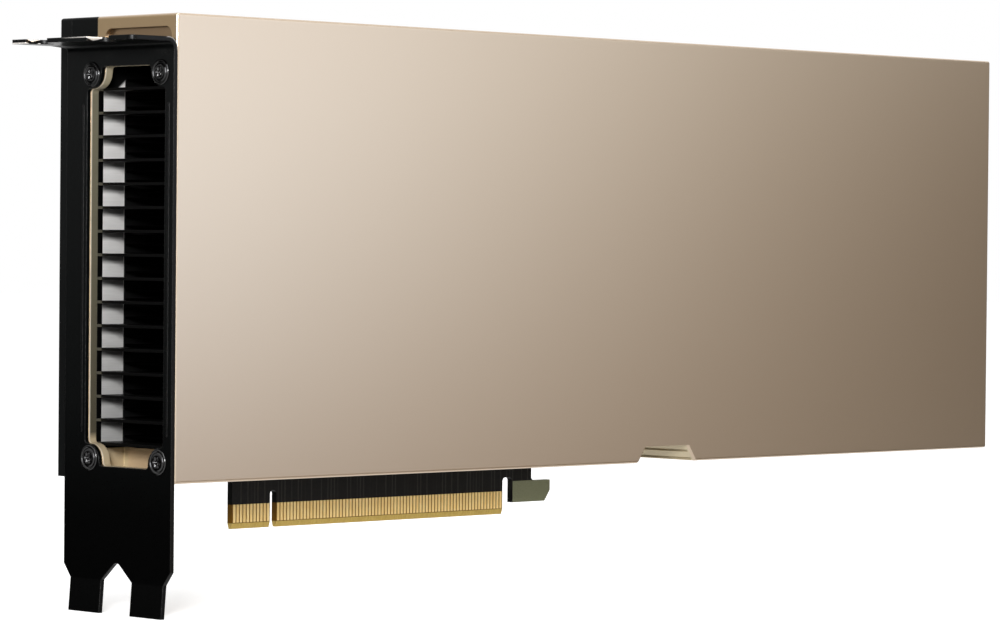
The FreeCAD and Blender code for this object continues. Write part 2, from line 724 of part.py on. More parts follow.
def support_frame():
    """Cast frame between cover and board: rails, spigot lips, ribs, screw posts and the socket's port."""
    frame = body("support_frame")
    depth = "seam_reach - board_thick / 2"
    ring = outline(frame, "frame_outline", "XZ_Plane", [side_outline()], "board_thick / 2")
    grow(frame, ring, depth)
    inside = side_outline("rail", END_INSIDE, f"({FAR} - far_rail)")
    cut(frame, outline(frame, "frame_inside", "XZ_Plane", [inside], "seam_reach"), depth)

    beyond = f"{SEAM} - overrun"
    notch = rectangle(beyond, f"{TONGUE_LOW} - seat_gap", "-tongue_reach + seat_gap",
                      f"{TONGUE_TOP} + seat_gap")
    cut(frame, outline(frame, "tongue_notch", "YZ_Plane", [notch], NEAR), "end_wall", reverse=True)
    cheek = rectangle(beyond, f"{TONGUE_LOW} - seat_gap", "stop_wall - base_face + seat_gap",
                      f"{STOP_TOP} + seat_gap")
    cheek_notch = outline(frame, "cheek_notch", "YZ_Plane", [cheek], END_INSIDE)
    cut(frame, cheek_notch, "plenum_depth + stop_wall + seat_gap", reverse=True)
    port = rectangle(beyond, f"{SOCKET_LOW} - fit_gap", BOARD_FRONT,
                     f"{SOCKET_LOW} + socket_height + fit_gap")
    port_sketch = outline(frame, "socket_port", "YZ_Plane", [port], f"({FAR} + overrun)")
    cut(frame, port_sketch, "far_rail + 2 * overrun")

    grow(frame, outline(frame, "spigot_lips", "XZ_Plane", spigot_lips(), "seam_reach"), "lip_height")
    grow(frame, outline(frame, "cross_ribs", "XZ_Plane", cross_ribs(), "board_thick / 2"), "rib_height")
    posts = [square(spot, "small_head") for spot in plate_screws()]
    post_length = f"{PLATE_INSIDE} + board_thick / 2 + rib_height"
    grow(frame, outline(frame, "screw_posts", "XZ_Plane", posts, f"-{PLATE_INSIDE}"), post_length)
    holes = circles(frame, "post_threads", "XZ_Plane", plate_screws(), "small_shank", f"-{PLATE_INSIDE}")
    cut(frame, holes, f"{post_length} - thread_past", reverse=True)
    spots = circles(frame, "lip_threads", "XY_Plane", cover_screw_spots(), "small_shank", TOP)
    cut(frame, spots, "cover_wall + fit_gap + lip_wall + thread_past")
    round_edges(frame, "frame_end_rounds", 1, [(NEAR, TOP), (FAR, TOP), (FAR, LOW)], "edge_round")
    return frame


def backplate():
    """Black tray over the back of the board, with a rim on three sides and sinks for its screws."""
    plate = body("backplate")
    skin = outline(plate, "plate_outline", "XZ_Plane", [side_outline()], "-back_reach")
    grow(plate, skin, "plate_wall")
    near_in, far_in, top_in = f"({NEAR} + rim_wall)", f"({FAR} - rim_wall)", f"({TOP} - rim_wall)"
    rim = [(NEAR, LOW), (near_in, LOW), (near_in, top_in), (far_in, top_in),
           (far_in, LOW), (FAR, LOW), (FAR, TOP), (NEAR, TOP)]
    rim_sketch = outline(plate, "plate_rim", "XZ_Plane", [rim], f"-{PLATE_INSIDE}")
    grow(plate, rim_sketch, f"{PLATE_INSIDE} + board_thick / 2")
    spots = plate_screws() + clamp_spots()
    sinks = circles(plate, "head_sinks", "XZ_Plane", spots, "small_head + hole_gap", "-back_reach")
    sink(plate, sinks, "plate_wall", reverse=True)
    round_edges(plate, "plate_corners", 1, [(NEAR, TOP), (FAR, TOP), (FAR, LOW)], "edge_round")
    round_edges(plate, "plate_rounds", 0, [("back_reach", TOP), ("back_reach", LOW)], "plate_round")
    return plate


# ---------------------------------------------------------------- board
def board_outline():
    """Outline of the board with contact tabs, key notch, far gap and hook."""
    near, far = f"({NEAR} + rim_wall + fit_gap)", f"({FAR} - rim_wall - fit_gap)"
    top = f"({TOP} - rim_wall - fit_gap)"
    half = "(key_width / 2)"
    hook_start = "(long_reach + gap_width)"
    tip = f"({hook_start} + hook_length)"
    neck = f"({hook_start} + hook_neck)"
    latch = f"({LATCH_ROOF} + fit_gap)"
    latch_far = f"({LATCH_END} + fit_gap)"
    return [
        (near, BOARD_LOW), ("-short_reach", BOARD_LOW),
        ("-short_reach", "0"), (f"-{half}", "0"), (f"-{half}", "key_rise"),
        (half, "key_rise"), (half, "0"), ("long_reach", "0"),
        ("long_reach", "gap_rise"), (hook_start, "gap_rise"),
        (hook_start, "hook_low"), (f"{tip} - hook_bevel", "hook_low"),
        (tip, "hook_low + hook_slant"), (tip, "hook_top"), (neck, "hook_top"), (neck, latch),
        (latch_far, latch), (latch_far, BOARD_LOW), (far, BOARD_LOW), (far, top), (near, top),
    ]


def circuit_board():
    """Black board with bevelled contact tabs, windows for the frame's posts and screw holes."""
    board = body("circuit_board")
    corners = board_outline()
    base = outline(board, "board_outline", "XZ_Plane", [corners], "-board_thick / 2")
    grow(board, base, "board_thick")
    wedges = []
    for side in ("-", ""):
        face, root = f"{side}board_thick / 2", f"{side}(board_thick / 2 - bevel_cut)"
        past = f"{side}(board_thick / 2 + overrun)"
        wedges.append([(face, "bevel_rise"), (root, "0"), (root, "-overrun"), (past, "-overrun"),
                       (past, "bevel_rise")])
    bevel = outline(board, "tab_bevels", "YZ_Plane", wedges, "-short_reach - overrun")
    cut(board, bevel, "short_reach + long_reach + 2 * overrun", reverse=True)
    through = "board_thick + 2 * overrun"
    windows = [square(spot, "(small_head + fit_gap)") for spot in plate_screws()]
    cut(board, outline(board, "post_windows", "XZ_Plane", windows, "board_thick / 2 + overrun"), through)
    holes = circles(board, "spring_screw_holes", "XZ_Plane", clamp_spots(), "small_shank + hole_gap",
                    "board_thick / 2 + overrun")
    cut(board, holes, through)
    notch_tops = corners[4:6] + corners[8:10]
    round_edges(board, "notch_rounds", 1, notch_tops, "notch_corner")
    round_edges(board, "neck_round", 1, [corners[14]], "notch_corner")
    return board


def edge_contacts():
    """Gold contacts on both faces of the two tabs."""
    pad = Part.makeBox(value("contact_width"), value("contact_thick"), value("contact_height"))
    first, pitch, left = value("contact_first"), value("contact_pitch"), -value("contact_width") / 2
    places = [-first - step * pitch for step in range(int(value("short_count")))]
    places += [first + step * pitch for step in range(int(value("long_count")))]
    faces = [value("-board_thick / 2 - contact_thick"), value("board_thick / 2")]
    low = value("contact_low")
    return group("edge_contacts", [moved(pad, left + across, out, low)
                                   for out in faces for across in places])


def insulating_film():
    """Thin film on the inside of the backplate, with a window for the clamp spring."""
    reach = f"({CLAMP_HALF} + small_head + fit_gap)"
    sheet = block("film_sheet",
                  (f"({NEAR} + film_margin)", f"({PLATE_INSIDE} - film_thick)",
                   f"({BOARD_LOW} + film_margin)"),
                  (f"({FAR} - film_margin)", PLATE_INSIDE, f"({TOP} - film_margin)"))
    window = block("film_window",
                   (f"(chip_x - {reach})", f"({PLATE_INSIDE} - overrun)", f"({MIDDLE} - {reach})"),
                   (f"(chip_x + {reach})", f"({PLATE_INSIDE} + overrun)", f"({MIDDLE} + {reach})"))
    return remove("insulating_film", sheet, window)


# ---------------------------------------------------------------- processor
def processor_package():
    """Square laminate that carries the die and the memory stacks."""
    return block("processor_package",
                 (f"(chip_x - {PACKAGE_HALF})", PACKAGE_FRONT, f"({MIDDLE} - {PACKAGE_HALF})"),
                 (f"(chip_x + {PACKAGE_HALF})", BOARD_FRONT, f"({MIDDLE} + {PACKAGE_HALF})"))


def processor_die():
    """Bare die in the middle of the package."""
    return block("processor_die",
                 ("(chip_x - die_width / 2)", f"({PACKAGE_FRONT} - die_thick)",
                  f"({MIDDLE} - die_length / 2)"),
                 ("(chip_x + die_width / 2)", PACKAGE_FRONT, f"({MIDDLE} + die_length / 2)"))


def memory_stacks():
    """A column of stacked memories on each side of the die."""
    chip = Part.makeBox(value("stack_width"), value("die_thick"), value("stack_length"))
    out = value(f"{PACKAGE_FRONT} - die_thick")
    pitch, rows = value("stack_length + stack_gap"), int(value("stack_rows"))
    low = value(f"{MIDDLE} - (stack_rows * (stack_length + stack_gap) - stack_gap) / 2")
    columns = [value("chip_x - die_width / 2 - stack_gap - stack_width"),
               value("chip_x + die_width / 2 + stack_gap")]
    return group("memory_stacks", [moved(chip, left, out, low + row * pitch)
                                   for left in columns for row in range(rows)])


def package_stiffener():
    """Metal ring round the edge of the package."""
    inner = f"({PACKAGE_HALF} - stiffener_wall)"
    ring = block("stiffener_blank",
                 (f"(chip_x - {PACKAGE_HALF})", f"({PACKAGE_FRONT} - stiffener_thick)",
                  f"({MIDDLE} - {PACKAGE_HALF})"),
                 (f"(chip_x + {PACKAGE_HALF})", PACKAGE_FRONT, f"({MIDDLE} + {PACKAGE_HALF})"))
    hole = block("stiffener_hole",
                 (f"(chip_x - {inner})", f"({PACKAGE_FRONT} - overrun)", f"({MIDDLE} - {inner})"),
                 (f"(chip_x + {inner})", f"({PACKAGE_FRONT} + overrun)", f"({MIDDLE} + {inner})"))
    return remove("package_stiffener", ring, hole)


def thermal_interface():
    """Soft pad between the die group and the base of the heat sink."""
    reach = "(die_width / 2 + stack_gap + stack_width)"
    return block("thermal_interface",
                 (f"(chip_x - {reach})", BASE_BACK, f"({MIDDLE} - die_length / 2)"),
                 (f"(chip_x + {reach})", f"({PACKAGE_FRONT} - die_thick)", f"({MIDDLE} + die_length / 2)"))


# ---------------------------------------------------------------- power parts
def choke_places():
    """Middles of the chokes in X and Z, and the side of the processor that each column is on."""
    low = value(f"{BASE_LOW} + choke_margin + choke_size / 2")
    top = value(f"{BASE_TOP} - choke_margin - choke_size / 2")
    count = int(value("choke_count"))
    reach = value(f"{PACKAGE_HALF} + choke_out")
    return [(value("chip_x") + side * reach, low + row * (top - low) / (count - 1), side)
            for side in (-1, 1) for row in range(count)]


def power_chokes():
    """Square moulded chokes."""
    size = value("choke_size")
    choke = Part.makeBox(size, value("choke_height"), size)
    out = value(f"{BOARD_FRONT} - choke_height")
    return group("power_chokes", [moved(choke, across - size / 2, out, up - size / 2)
                                  for across, up, _ in choke_places()])


def choke_pads():
    """Soft pads between the chokes and the base of the heat sink."""
    size = value("choke_size")
    pad = Part.makeBox(size, value(f"{BOARD_FRONT} - choke_height - {BASE_BACK}"), size)
    out = value(BASE_BACK)
    return group("choke_pads", [moved(pad, across - size / 2, out, up - size / 2)
                                for across, up, _ in choke_places()])


def power_drivers():
    """Flat power stages beside the chokes, on the processor's side."""
    length, width = value("driver_length"), value("driver_width")
    driver = Part.makeBox(length, value("driver_height"), width)
    out = value(f"{BOARD_FRONT} - driver_height")
    shift = value("choke_size / 2 + part_gap + driver_length / 2")
    return group("power_drivers", [moved(driver, across - side * shift - length / 2, out, up - width / 2)
                                   for across, up, side in choke_places()])


def capacitor_cans():
    """Round polymer capacitors on the outer side of some chokes."""
    can = Part.makeCylinder(value("can_radius"), value("can_height"), Vector(0, 0, 0), Vector(0, 1, 0))
    out = value(f"{BOARD_FRONT} - can_height")
    shift = value("choke_size / 2 + part_gap + can_radius")
    places = choke_places()[::int(value("can_step"))]
    return group("capacitor_cans", [moved(can, across + side * shift, out, up)
                                    for across, up, side in places])


def control_chips():
    """Two columns of small flat controllers, one near each end of the board."""
    size, height = value("control_size"), value("control_height")
    chip = Part.makeBox(size, height, size)
    columns = [value(f"{NEAR} + control_near"), value(f"{FAR} - control_far")]
    low, pitch = value(f"{BOARD_LOW} + control_rise"), value("control_pitch")
    out = value(f"{BOARD_FRONT} - control_height")
    return group("control_chips", [moved(chip, left, out, low + row * pitch)
                                   for left in columns for row in range(int(value("control_rows")))])


# ---------------------------------------------------------------- power socket
def socket_cavities():
    """Middles of the cavities in their two rows, as expressions of Y and Z."""
    columns = int(value("socket_columns"))
    return [(f"({BOARD_FRONT} - socket_depth / 2 {row} socket_pitch / 2)",
             f"({SOCKET_LOW} + socket_height / 2 + ({column} - (socket_columns - 1) / 2) * socket_pitch)")
            for row in "-+" for column in range(columns)]


def power_socket():
    """Moulded socket with two rows of cavities, facing the far end."""
    socket = body("power_socket")
    shell = rectangle(f"{BOARD_FRONT} - socket_depth", SOCKET_LOW, BOARD_FRONT,
                      f"{SOCKET_LOW} + socket_height")
    shell_sketch = outline(socket, "socket_shell", "YZ_Plane", [shell], f"({FAR} - socket_length)")
    grow(socket, shell_sketch, "socket_length")
    wells = [square(spot, "cavity_size / 2") for spot in socket_cavities()]
    cut(socket, outline(socket, "socket_wells", "YZ_Plane", wells, FAR), "cavity_depth")
    return socket


def socket_terminals():
    """Square pins on the floor of the cavities."""
    pin = Part.makeBox(value("terminal_length"), value("terminal_size"), value("terminal_size"))
    start = value(f"{FAR} - cavity_depth")
    half = value("terminal_size / 2")
    return group("socket_terminals", [moved(pin, start, value(out) - half, value(up) - half)
                                      for out, up in socket_cavities()])


# ---------------------------------------------------------------- clamp and small screws
def clamp_arm(across, up):
    """Corners of the spring arm in one quarter, with a fork at its end for the screw."""
    reach, inner = f"({CLAMP_HALF} + small_head)", f"({CLAMP_HALF} + small_head - clamp_arm)"
    low = f"({CLAMP_HALF} - small_shank - hole_gap)"
    high = f"({CLAMP_HALF} + small_shank + hole_gap)"
    arm = [(reach, inner), (reach, low), (low, low), (low, high), (reach, high), (reach, reach),
           (inner, reach)]
    return [(f"chip_x {across} {right}", f"{MIDDLE} {up} {rise}") for right, rise in arm]


def clamp_spring():
    """Leaf spring behind the processor: a cross with one diagonal arm to each spring screw."""
    clamp = body("clamp_spring")
    corners = clamp_arm("+", "+") + [("chip_x", f"{MIDDLE} + clamp_waist")]
    corners += clamp_arm("-", "+")[::-1] + [("chip_x - clamp_waist", MIDDLE)]
    corners += clamp_arm("-", "-") + [("chip_x", f"{MIDDLE} - clamp_waist")]
    corners += clamp_arm("+", "-")[::-1] + [("chip_x + clamp_waist", MIDDLE)]
    sketch = outline(clamp, "clamp_outline", "XZ_Plane", [corners], "-board_thick / 2 - clamp_thick")
    grow(clamp, sketch, "clamp_thick")
    return clamp


def backplate_screws():
    """Screws through the backplate into the frame's posts."""
    length = value("back_reach + board_thick / 2 + rib_height - 2 * thread_past")
    screw = sunk_screw(Vector(0, -1, 0), "plate_wall", length)
    seat = value("back_reach")
    return group("backplate_screws", [moved(screw, value(across), seat, value(up))
                                      for across, up in plate_screws()])


def clamp_screws():
    """Spring screws round the processor, through backplate, clamp and board up to the base."""
    screw = sunk_screw(Vector(0, -1, 0), "plate_wall", value(f"back_reach - {BASE_BACK}"))
    seat = value("back_reach")
    return group("clamp_screws", [moved(screw, value(across), seat, value(up))
                                  for across, up in clamp_spots()])


def cover_screws():
    """Small screws through the cover's upper edge into the frame's lip."""
    screw = sunk_screw(Vector(0, 0, -1), "cover_wall", value("cover_wall + fit_gap + lip_wall"))
    seat = value(TOP)
    return group("cover_screws", [moved(screw, value(across), value(out), seat)
                                  for across, out in cover_screw_spots()])


BUILDERS = [
    front_cover, mounting_bracket, bracket_screws, exhaust_grille, heatsink_base, heatsink_fins,
    support_frame, backplate, circuit_board, edge_contacts, processor_package, processor_die,
    memory_stacks, package_stiffener, thermal_interface, power_chokes, choke_pads, power_drivers,
    capacitor_cans, control_chips, power_socket, socket_terminals, clamp_spring, insulating_film,
    backplate_screws, clamp_screws, cover_screws,
]


def check_document(parts):
    """Stop if any object failed or any sub-part is not a sound solid."""
    for item in DOC.Objects:
        if "Invalid" in item.State or "Error" in item.State:
            raise RuntimeError(f"{item.Label} failed: {item.State}")
    for part in parts:
        if part.Shape.isNull() or not part.Shape.isValid() or not part.Shape.Solids:
            raise RuntimeError(f"{part.Label} is not a sound solid")


def main():
    """Build every sub-part, check them and write their files."""
    fill_sheet()
    parts = [build() for build in BUILDERS]
    DOC.recompute()
    check_document(parts)
    os.makedirs("parts", exist_ok=True)
    for part in parts:
        part.Shape.exportStep(f"parts/{part.Label}.step")


main()
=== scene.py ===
import math
from functools import reduce

import bpy
import numpy as np
from mathutils import Matrix, Vector


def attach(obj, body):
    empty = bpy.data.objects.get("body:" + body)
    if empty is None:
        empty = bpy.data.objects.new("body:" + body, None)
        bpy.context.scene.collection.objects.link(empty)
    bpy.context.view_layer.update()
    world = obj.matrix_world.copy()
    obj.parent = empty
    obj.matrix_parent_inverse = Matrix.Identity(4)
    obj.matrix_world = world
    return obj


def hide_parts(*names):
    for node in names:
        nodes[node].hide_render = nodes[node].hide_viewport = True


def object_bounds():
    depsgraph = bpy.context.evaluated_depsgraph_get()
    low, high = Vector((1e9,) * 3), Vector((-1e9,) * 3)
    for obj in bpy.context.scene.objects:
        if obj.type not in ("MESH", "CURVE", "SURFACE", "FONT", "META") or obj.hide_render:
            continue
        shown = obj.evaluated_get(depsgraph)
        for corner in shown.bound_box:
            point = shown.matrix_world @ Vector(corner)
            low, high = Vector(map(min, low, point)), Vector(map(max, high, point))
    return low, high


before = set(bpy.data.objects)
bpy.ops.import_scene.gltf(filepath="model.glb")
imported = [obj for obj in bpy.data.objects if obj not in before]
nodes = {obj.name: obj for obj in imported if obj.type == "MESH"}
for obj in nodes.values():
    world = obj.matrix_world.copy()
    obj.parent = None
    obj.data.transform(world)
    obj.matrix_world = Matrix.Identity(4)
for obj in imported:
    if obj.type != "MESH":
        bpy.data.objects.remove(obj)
cad_low, cad_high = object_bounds()
MM = 0.001
SEEN_RAYS = ("Is Camera Ray", "Is Glossy Ray", "Is Transmission Ray")
WHITE = (1.0, 1.0, 1.0, 1.0)

# places on the card in millimetres: X runs along it, Y from its face to its back, Z up
COVER_SPAN, COVER_RISE = (-58.0, 210.0), (13.0, 111.0)
NEAR_END, FACE, BACK, TOP = -58.3, -35.4, 3.2, 111.0
WINDOW_RISE = (13.3, 100.6)
PLENUM_STEP = -48.4
SHEET_FACE, SHEET_SIDE = -59.25, -35.5
BEND_CENTRE = (-60.75, 0.0, 103.52)
FLANGE_RISE = (105.04, 105.95)
FLANGE_EDGE, NOTCH_FLOOR = -70.6, -65.6
BLADE_FRONT, BLADE_BACK = -56.2, -49.0
BLADE_LOW, BLADE_PITCH = 20.25, 5.0094
CONTACTS_END = 73.0
PROCESSOR = (78.0, BACK, 62.1)


# ------------------------------------------------------------------ wiring of nodes
def shade(red, green, blue):
    """The linear colour of a display colour from 0 to 255."""
    parts = np.array([red, green, blue]) / 255.0
    line = np.where(parts <= 0.04045, parts / 12.92, ((parts + 0.055) / 1.055) ** 2.4)
    return (*line.tolist(), 1.0)


class Wiring:
    """A node tree being wired up, with patterns read in millimetres from Object coordinates."""

    def __init__(self, tree):
        self.tree = tree

    def feed(self, socket, source):
        """Link an output, or write a constant, to an input socket."""
        if isinstance(source, bpy.types.NodeSocket):
            self.tree.links.new(source, socket)
        else:
            socket.default_value = source

    def node(self, kind, inputs=None, **options):
        """Add a node with its options and inputs."""
        made = self.tree.nodes.new(kind)
        for option, choice in options.items():
            setattr(made, option, choice)
        for socket, source in (inputs or {}).items():
            self.feed(made.inputs[socket], source)
        return made

    def read_place(self):
        """Place on the piece in millimetres."""
        place = self.node("ShaderNodeTexCoord").outputs["Object"]
        scale = (1 / MM, 1 / MM, 1 / MM)
        self.place = self.node("ShaderNodeMapping", {"Vector": place, "Scale": scale}).outputs[0]
        self.x, self.y, self.z = self.node("ShaderNodeSeparateXYZ", {0: self.place}).outputs

    def math(self, operation, first, second=0.0, third=0.0):
        """A piece of arithmetic on two or three values."""
        return self.node("ShaderNodeMath", {0: first, 1: second, 2: third}, operation=operation).outputs[0]

    def level(self, source, start, end, low=0.0, high=1.0):
        """Carry a value from one range to another, held at its ends."""
        return self.node("ShaderNodeMapRange", {0: source, 1: start, 2: end, 3: low, 4: high}).outputs[0]

    def between(self, source, start, end, soft=0.04):
        """One where a value lies between two others, with soft ends."""
        return self.both(self.level(source, start - soft, start + soft),
                         self.level(source, end + soft, end - soft))

    def both(self, *masks):
        """One where every mask is one."""
        return reduce(lambda first, second: self.math("MULTIPLY", first, second), masks)

    def either(self, *masks):
        """One where any mask is one."""
        return reduce(lambda first, second: self.math("MAXIMUM", first, second), masks)

    def noise(self, scale, detail=2.0, stretch=(1, 1, 1)):
        """Noise of so many waves a millimetre, stretched along the axes."""
        place = self.node("ShaderNodeMapping", {"Vector": self.place, "Scale": stretch}).outputs[0]
        made = self.node("ShaderNodeTexNoise", {"Vector": place, "Scale": scale, "Detail": detail})
        return made.outputs["Fac"]

    def spread(self, noise, low=0.0, high=1.0):
        """Noise, whose values keep to the middle, carried over a whole range."""
        return self.level(noise, 0.3, 0.7, low, high)

    def cells(self, scale):
        """A random tone for each small cell, for pressed powder and grains."""
        made = self.node("ShaderNodeTexVoronoi", {"Vector": self.place, "Scale": scale})
        return self.node("ShaderNodeSeparateColor", {0: made.outputs["Color"]}).outputs[0]

    def lines(self, source, pitch, width):
        """Thin parallel lines: one at the middle of each pitch, over so wide a share of it."""
        part = self.math("FRACT", self.math("DIVIDE", source, pitch))
        away = self.math("ABSOLUTE", self.math("SUBTRACT", part, 0.5))
        return self.level(away, width * 0.65, width * 0.35)

    def blend(self, share, first, second):
        """A mix of two colours."""
        return self.node("ShaderNodeMix", {0: share, 6: first, 7: second}, data_type="RGBA").outputs[2]

    def mix(self, share, first, second):
        """A mix of two numbers."""
        return self.node("ShaderNodeMix", {0: share, 2: first, 3: second}).outputs[0]

    def vector(self, operation, *parts):
        """A piece of arithmetic on vectors; gives the node's vector and its value."""
        return self.node("ShaderNodeVectorMath", dict(enumerate(parts)), operation=operation).outputs

    def seen(self):
        """One for a ray that shows a surface to the eye, straight or in metal and glass."""
        path = self.node("ShaderNodeLightPath").outputs
        return self.either(*(path[ray] for ray in SEEN_RAYS))


class Finish(Wiring):
    """A material for one kind of surface."""

    def __init__(self, name, colour, roughness, metallic=0.0, specular=0.5):
        self.material = bpy.data.materials.new(name)
        self.material.use_nodes = True
        super().__init__(self.material.node_tree)
        self.shader = self.tree.nodes["Principled BSDF"]
        self.read_place()
        self.set("Base Color", colour)
        self.set("Roughness", roughness)
        self.set("Metallic", metallic)
        self.set("Specular IOR Level", specular)

    def set(self, socket, source):
        """Give one of the shader's sockets a number, a colour or another node's output."""
        self.feed(self.shader.inputs[socket], source)

    def soften(self, radius):
        """Round the edges for the light by so many millimetres; gives the softened normal."""
        self.edge = self.node("ShaderNodeBevel", {"Radius": radius * MM}, samples=4).outputs[0]
        return self.edge

    def worn(self):
        """One along softened edges, where a coat rubs thin, broken up by noise."""
        flat = self.node("ShaderNodeNewGeometry").outputs["True Normal"]
        turn = self.vector("DOT_PRODUCT", self.edge, flat)["Value"]
        patchy = self.level(self.noise(1.4, 3.0), 0.42, 0.62)
        return self.both(self.level(turn, 0.97, 0.8), patchy)

    def bump(self, height, depth, normal=None):
        """Set the surface's relief from a height of 0 to 1 that stands for so many millimetres."""
        inputs = {"Height": height, "Distance": depth * MM, "Strength": 1.0}
        if normal is not None:
            inputs["Normal"] = normal
        self.set("Normal", self.node("ShaderNodeBump", inputs).outputs[0])


# ------------------------------------------------------------------ camera, floor and light
def add_camera():
    """A long lens near the bracket's height, turned towards the far end of the card."""
    place = Vector((-608.1, -685.8, 63.8)) * MM
    turn, dip, roll = (math.radians(angle) for angle in (44.744, -1.0145, 0.5207))
    level_right = Vector((math.cos(turn), -math.sin(turn), 0))
    level_ahead = Vector((math.sin(turn), math.cos(turn), 0))
    up = Vector((0, 0, 1))
    ahead = level_ahead * math.cos(dip) + up * math.sin(dip)
    over = up * math.cos(dip) - level_ahead * math.sin(dip)
    right = level_right * math.cos(roll) + over * math.sin(roll)
    top = over * math.cos(roll) - level_right * math.sin(roll)
    turned = Matrix((right, top, -ahead)).transposed().to_4x4()
    lens = bpy.data.cameras.new("view_lens")
    lens.sensor_width = 36.0
    lens.lens = 147.5
    lens.clip_start = 0.01
    camera = bpy.data.objects.new("view_camera", lens)
    camera.matrix_world = Matrix.Translation(place) @ turned
    bpy.context.scene.collection.objects.link(camera)
    bpy.context.scene.camera = camera


def add_world():
    """White surroundings for what the eye and the metal see, and a softer level for diffuse light."""
    world = bpy.data.worlds.new("studio_air")
    bpy.context.scene.world = world
    world.use_nodes = True
    wiring = Wiring(world.node_tree)
    wiring.tree.nodes.clear()
    soft = wiring.node("ShaderNodeBackground", {"Color": WHITE, "Strength": 0.55})
    white = wiring.node("ShaderNodeBackground", {"Color": WHITE, "Strength": 1.0})
    blend = wiring.node("ShaderNodeMixShader", {0: wiring.seen(), 1: soft.outputs[0], 2: white.outputs[0]})
    wiring.node("ShaderNodeOutputWorld", {"Surface": blend.outputs[0]})


def flat_board(name, centre, across, up):
    """A flat rectangle with its corners at centre + a*across + b*up, where a and b are -1 or 1."""
    signs = np.array([(-1, -1), (1, -1), (1, 1), (-1, 1)], float)
    points = np.array(centre) + signs[:, :1] * np.array(across) + signs[:, 1:] * np.array(up)
    mesh = bpy.data.meshes.new(name)
    mesh.from_pydata((points * MM).tolist(), [], [(0, 1, 2, 3)])
    board = bpy.data.objects.new(name, mesh)
    bpy.context.scene.collection.objects.link(board)
    return board


def add_floor():
    """A pale floor under the bracket's tongues that reads white and keeps the card's shadow."""
    under_card, reach = (76, 0, cad_low.z / MM - 0.05), 4000
    floor = flat_board("pale_floor", under_card, (reach, 0, 0), (0, reach, 0))
    paper = Finish("pale_paper", (0.82, 0.82, 0.82, 1), 0.9, specular=0.0)
    paper.set("Emission Color", WHITE)
    paper.set("Emission Strength", paper.math("MULTIPLY", paper.seen(), 0.58))
    floor.data.materials.append(paper.material)
    floor.visible_glossy = False


def aim(centre, target):
    """A placement at a centre whose -Z axis looks at a target."""
    place, ahead = Vector(centre) * MM, (Vector(target) - Vector(centre)) * MM
    return Matrix.Translation(place) @ ahead.to_track_quat("-Z", "Y").to_matrix().to_4x4()


def add_lamp(name, centre, target, width, height, watts):
    """A rectangular soft lamp, unseen by the camera."""
    lamp = bpy.data.lights.new(name, "AREA")
    lamp.shape = "RECTANGLE"
    lamp.size, lamp.size_y = width * MM, height * MM
    lamp.energy = watts
    holder = bpy.data.objects.new(name, lamp)
    holder.matrix_world = aim(centre, target)
    holder.visible_camera = False
    bpy.context.scene.collection.objects.link(holder)


def add_board(name, centre, across, up, glow):
    """A studio board that only reflections see; its glow is a colour, or gives one from place."""
    board = flat_board(name, centre, across, up)
    material = bpy.data.materials.new(name)
    material.use_nodes = True
    wiring = Wiring(material.node_tree)
    wiring.tree.nodes.clear()
    wiring.read_place()
    colour = glow(wiring) if callable(glow) else glow
    light = wiring.node("ShaderNodeEmission", {"Color": colour, "Strength": 1.0})
    wiring.node("ShaderNodeOutputMaterial", {"Surface": light.outputs[0]})
    board.data.materials.append(material)
    board.visible_camera = False
    board.visible_diffuse = False
    board.visible_shadow = False
    board.visible_transmission = False


BOARD_RUN = (0.701, 0.713, 0.0)
GLOW_TINTS = ((-0.643, -0.795, -1.026), (-1.040, -1.216, -1.480), (0.577, 0.707, 0.867),
              (-0.117, 0.029, 0.267), (-0.403, -0.562, -0.741), (0.098, 0.116, 0.120))
GLOW_TOPS = (1.85, 2.05, 2.4)
GLINT = (7.0, 7.0, 7.2, 1.0)


def face_glow(wiring):
    """Cool and bright high towards the bracket, warm and dim low towards the far end.

    Each colour is e to the power of c0 + c1*s + c2*t + c3*s*s + c4*s*t + c5*t*t, where s runs along
    the board and t up it, and c are the tints above; none passes its top level.
    """
    along = wiring.vector("DOT_PRODUCT", wiring.place, BOARD_RUN)["Value"]
    s = wiring.level(along, -197, 298, -1.25, 1.5)
    t = wiring.level(wiring.z, -60, 190, -1.2, 1.3)
    terms = s, t, wiring.both(s, s), wiring.both(s, t), wiring.both(t, t)
    total = GLOW_TINTS[0]
    for tint, term in zip(GLOW_TINTS[1:], terms):
        total = wiring.vector("MULTIPLY_ADD", tint, term, total)["Vector"]
    powers = wiring.node("ShaderNodeSeparateXYZ", {0: total}).outputs
    parts = [wiring.math("MINIMUM", wiring.math("EXPONENT", power), top)
             for power, top in zip(powers, GLOW_TOPS)]
    return wiring.node("ShaderNodeCombineColor", dict(enumerate(parts))).outputs[0]


def end_glow(wiring):
    """Black at the card's foot, rising to a dim grey above its top."""
    level = wiring.level(wiring.z, 0.0, 170.0, 0.0, 0.5)
    return wiring.node("ShaderNodeCombineColor", dict.fromkeys(range(3), level)).outputs[0]


bpy.context.scene.view_settings.view_transform = "Standard"
add_camera()
add_world()
add_floor()
add_lamp("key_softbox", (-700, -640, 250), (-50, -15, 60), width=160, height=160, watts=9.0)
add_lamp("top_softbox", (60, -260, 1000), (60, -20, 60), width=700, height=500, watts=6.0)
add_board("face_board", (893, -488, 0), (490, 499, 0), (0, 0, 700), face_glow)
add_board("end_board", (-560, 480, 0), (495, 495, 0), (0, 0, 700), end_glow)
# a tall bright strip ahead of the bracket, from its middle upwards, for glints on screws and edges
add_board("glint_board", (-690, -355, 480), (-51, 97, 0), (0, 0, 420), GLINT)


